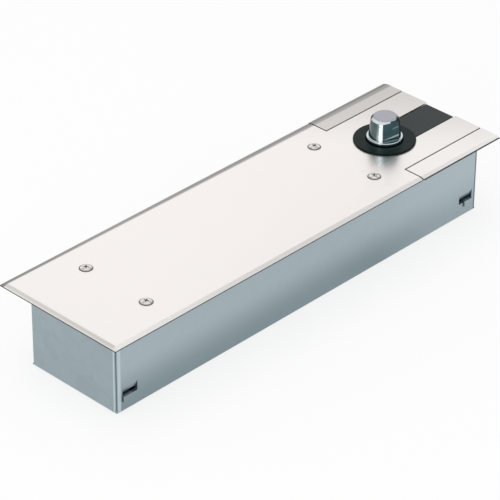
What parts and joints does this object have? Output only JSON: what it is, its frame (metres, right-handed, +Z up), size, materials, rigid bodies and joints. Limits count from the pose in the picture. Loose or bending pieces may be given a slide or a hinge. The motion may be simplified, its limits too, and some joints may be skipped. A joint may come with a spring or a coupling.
{
  "type": "concealed door closer",
  "caption": "Floor-concealed door closer: flat-sided tapered spindle over a sealed cam and spring unit in a long steel box under a bevelled cover plate.",
  "frame": {"origin": "on the spindle axis, in the plane of the cement box's underside", "axes": "+X along the box towards its spindle end, +Y across the box, +Z up along the spindle"},
  "size_m": [0.3585, 0.1054, 0.0804],
  "materials": {
    "stainless_satin": "satin-brushed stainless sheet",
    "galvanised": "galvanised steel sheet, blue-grey",
    "black_plastic": "moulded black plastic",
    "zinc_spindle": "zinc-plated turned steel",
    "iron_casting": "cast iron, machined where it fits",
    "screw_steel": "bright plated steel",
    "plain_steel": "plated turned steel",
    "hard_steel": "ground hardened steel",
    "spring_steel": "shot-peened spring steel",
    "bronze": "turned bronze or brass",
    "seal_rubber": "oil-proof rubber"
  },
  "bodies": {
    "housing": {"cement_box": "galvanised", "cover_plate": "stainless_satin", "edge_strip_front": "stainless_satin", "edge_strip_back": "stainless_satin", "collar_ring": "black_plastic", "slot_filler": "black_plastic", "cover_screws": "screw_steel", "support_bars": "galvanised", "support_nuts": "galvanised", "closer_body": "iron_casting", "bearing_cover": "iron_casting", "bearing_cover_screws": "plain_steel", "bearing_cover_o_ring": "seal_rubber", "shaft_seal": "seal_rubber", "lower_bush": "bronze", "bearing_outer_race": "hard_steel", "clamp_screws": "plain_steel", "clamp_washers": "plain_steel", "box_nuts": "galvanised", "jack_screws": "plain_steel", "end_plug": "plain_steel", "end_plug_o_ring": "seal_rubber", "power_screw_o_ring": "seal_rubber", "filler_plug": "plain_steel", "filler_washer": "bronze", "main_spring": "spring_steel", "inner_spring": "spring_steel"},
    "spindle_unit": {"spindle": "zinc_spindle", "cam_disc": "hard_steel", "cam_key": "plain_steel", "spacer_sleeve": "plain_steel", "cam_circlip": "plain_steel", "bearing_inner_race": "hard_steel"},
    "ball_set": {"bearing_balls": "hard_steel", "ball_cage": "black_plastic"},
    "piston_unit": {"piston": "iron_casting", "piston_seal": "seal_rubber", "roller_pin": "hard_steel", "check_stop": "plain_steel"},
    "roller_unit": {"cam_roller": "hard_steel", "roller_bush": "bronze"},
    "check_ball_unit": {"check_ball": "hard_steel"},
    "spring_plate_unit": {"spring_plate": "plain_steel"},
    "power_screw_unit": {"power_screw": "plain_steel"},
    "closing_valve_unit": {"closing_valve": "bronze", "closing_valve_ring": "seal_rubber"},
    "latching_valve_unit": {"latching_valve": "bronze", "latching_valve_ring": "seal_rubber"}
  },
  "joints": [
    {"name": "spindle_turn", "type": "hinge", "parent": "housing", "child": "spindle_unit", "pos_m": [0, 0, 0.027], "axis": [0, 0, 1], "range_deg": [0, 130], "stiffness_Nm_per_rad": 3.6},
    {"name": "ball_set_turn", "type": "hinge", "parent": "housing", "child": "ball_set", "pos_m": [0, 0, 0.045], "axis": [0, 0, 1], "range_deg": [0, 54.6]},
    {"name": "piston_slide", "type": "slide", "parent": "housing", "child": "piston_unit", "axis": [-1, 0, 0], "range_m": [0, 0.0125], "deforming": ["main_spring", "inner_spring"]},
    {"name": "roller_spin", "type": "hinge", "parent": "piston_unit", "child": "roller_unit", "pos_m": [-0.0213, 0, 0.027], "axis": [0, 0, 1], "continuous": true},
    {"name": "check_ball_lift", "type": "slide", "parent": "piston_unit", "child": "check_ball_unit", "axis": [1, 0, 0], "range_m": [0, 0.0008]},
    {"name": "spring_plate_slide", "type": "slide", "parent": "housing", "child": "spring_plate_unit", "axis": [1, 0, 0], "range_m": [0, 0.0087], "deforming": ["main_spring", "inner_spring"]},
    {"name": "power_screw_turn", "type": "hinge", "parent": "spring_plate_unit", "child": "power_screw_unit", "pos_m": [-0.23, 0, 0.027], "axis": [1, 0, 0], "range_deg": [0, 1800]},
    {"name": "closing_valve_turn", "type": "hinge", "parent": "housing", "child": "closing_valve_unit", "pos_m": [-0.07, -0.0235, 0.04], "axis": [0, 0, 1], "range_deg": [-360, 360]},
    {"name": "latching_valve_turn", "type": "hinge", "parent": "housing", "child": "latching_valve_unit", "pos_m": [-0.07, 0.0235, 0.04], "axis": [0, 0, 1], "range_deg": [-360, 360]}
  ],
  "couplings": [
    {"joint": "ball_set_turn", "follows": "spindle_turn", "ratio": 0.41935},
    {"joint": "piston_slide", "follows": "spindle_turn", "m_per_rad": 0.005509},
    {"joint": "power_screw_turn", "follows": "spring_plate_slide", "rad_per_m": 3590.4}
  ]
}
